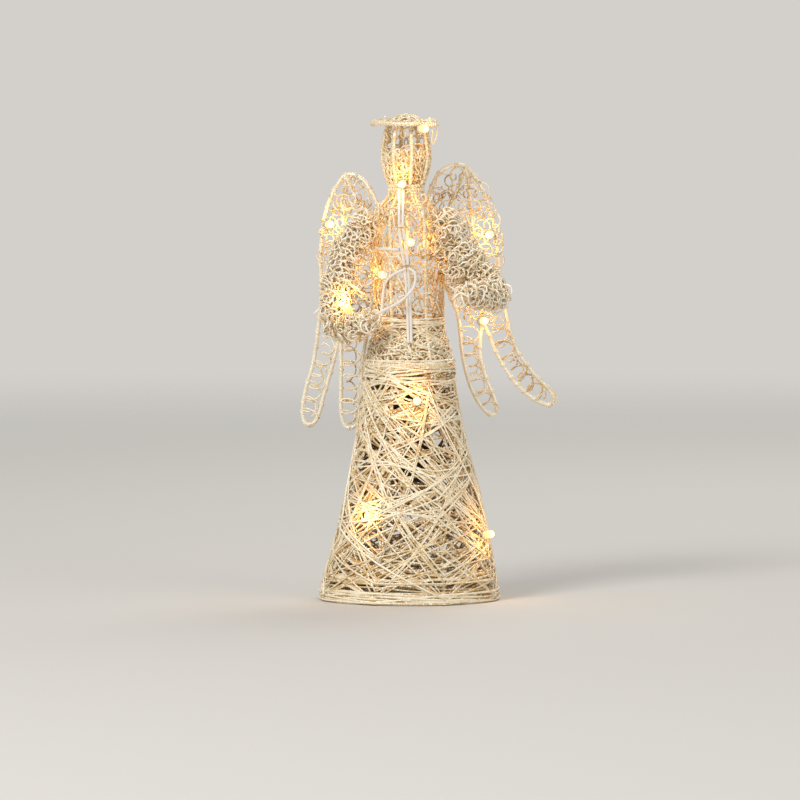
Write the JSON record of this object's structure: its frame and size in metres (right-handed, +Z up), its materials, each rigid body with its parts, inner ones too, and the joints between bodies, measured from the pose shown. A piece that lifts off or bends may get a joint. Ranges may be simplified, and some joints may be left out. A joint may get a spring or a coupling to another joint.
{
  "type": "lighted wire angel tree topper",
  "caption": "Standing wire-frame angel with a thread-wound cone skirt, curled-wire wings, sleeves and halo, warm lights and a battery case inside, to set over a tree's tip.",
  "frame": {"origin": "on the floor at the middle of the hem ring, where the tree's tip goes in", "axes": "+Z up along the skirt's axis, -Y towards the angel's front, +X to its left hand"},
  "size_m": [0.1574, 0.112, 0.299],
  "materials": {
    "gold_frame": "champagne gold plated steel wire, satin",
    "glitter_thread": "metallic thread with glitter",
    "lace_wire": "curled flat metallic lace wire, champagne",
    "sleeve_wire": "curled lace wire, silver champagne",
    "light_lens": "warm white lamp, lit",
    "lead_jacket": "white flexible lead",
    "tie_wire": "twisted tie wire",
    "case_plastic": "moulded black plastic, fine texture",
    "switch_plastic": "moulded white plastic",
    "cell_jacket": "plain printed sleeve, unmarked",
    "contact_steel": "nickel plated spring steel"
  },
  "bodies": {
    "angel": {"hem_ring": "gold_frame", "skirt_rib_1": "gold_frame", "skirt_rib_2": "gold_frame", "skirt_rib_3": "gold_frame", "skirt_rib_4": "gold_frame", "skirt_rib_5": "gold_frame", "skirt_rib_6": "gold_frame", "skirt_rib_7": "gold_frame", "skirt_rib_8": "gold_frame", "waist_ring": "gold_frame", "bodice_wire_1": "gold_frame", "bodice_wire_2": "gold_frame", "bodice_wire_3": "gold_frame", "bodice_wire_4": "gold_frame", "bodice_wire_5": "gold_frame", "bodice_wire_6": "gold_frame", "collar_ring": "gold_frame", "head_cage": "gold_frame", "halo_ring": "gold_frame", "wing_left_frame": "gold_frame", "wing_right_frame": "gold_frame", "arm_left_wire": "gold_frame", "arm_right_wire": "gold_frame", "skirt_winding": "glitter_thread", "belt_winding": "glitter_thread", "bodice_lace": "lace_wire", "head_lace": "lace_wire", "halo_lace": "lace_wire", "wing_left_lace": "lace_wire", "wing_right_lace": "lace_wire", "sleeve_left_lace": "sleeve_wire", "sleeve_right_lace": "sleeve_wire", "light_halo": "light_lens", "light_neck": "light_lens", "light_chest": "light_lens", "light_bodice": "light_lens", "light_wing_left": "light_lens", "light_wing_right": "light_lens", "light_wing_notch": "light_lens", "light_sleeve": "light_lens", "light_skirt_upper": "light_lens", "light_skirt_left": "light_lens", "light_skirt_right": "light_lens", "chest_lead_left": "lead_jacket", "chest_lead_right": "lead_jacket", "cuff_lead": "lead_jacket", "bodice_lead": "lead_jacket", "wing_lead": "lead_jacket", "battery_lead": "lead_jacket", "chest_tie_1": "tie_wire", "chest_tie_2": "tie_wire", "battery_case": "case_plastic", "cell_left": "cell_jacket", "cell_right": "cell_jacket", "cell_spring_left": "contact_steel", "cell_spring_right": "contact_steel", "bridge_plate": "contact_steel", "positive_plate": "contact_steel"},
    "cover": {"battery_cover": "case_plastic"},
    "switch": {"switch_slider": "switch_plastic"}
  },
  "joints": [
    {"name": "cover_slide", "type": "slide", "parent": "angel", "child": "cover", "axis": [0, 0, -1], "range_m": [0, 0.056]},
    {"name": "switch_slide", "type": "slide", "parent": "angel", "child": "switch", "axis": [1, 0, 0], "range_m": [0, 0.004]}
  ]
}
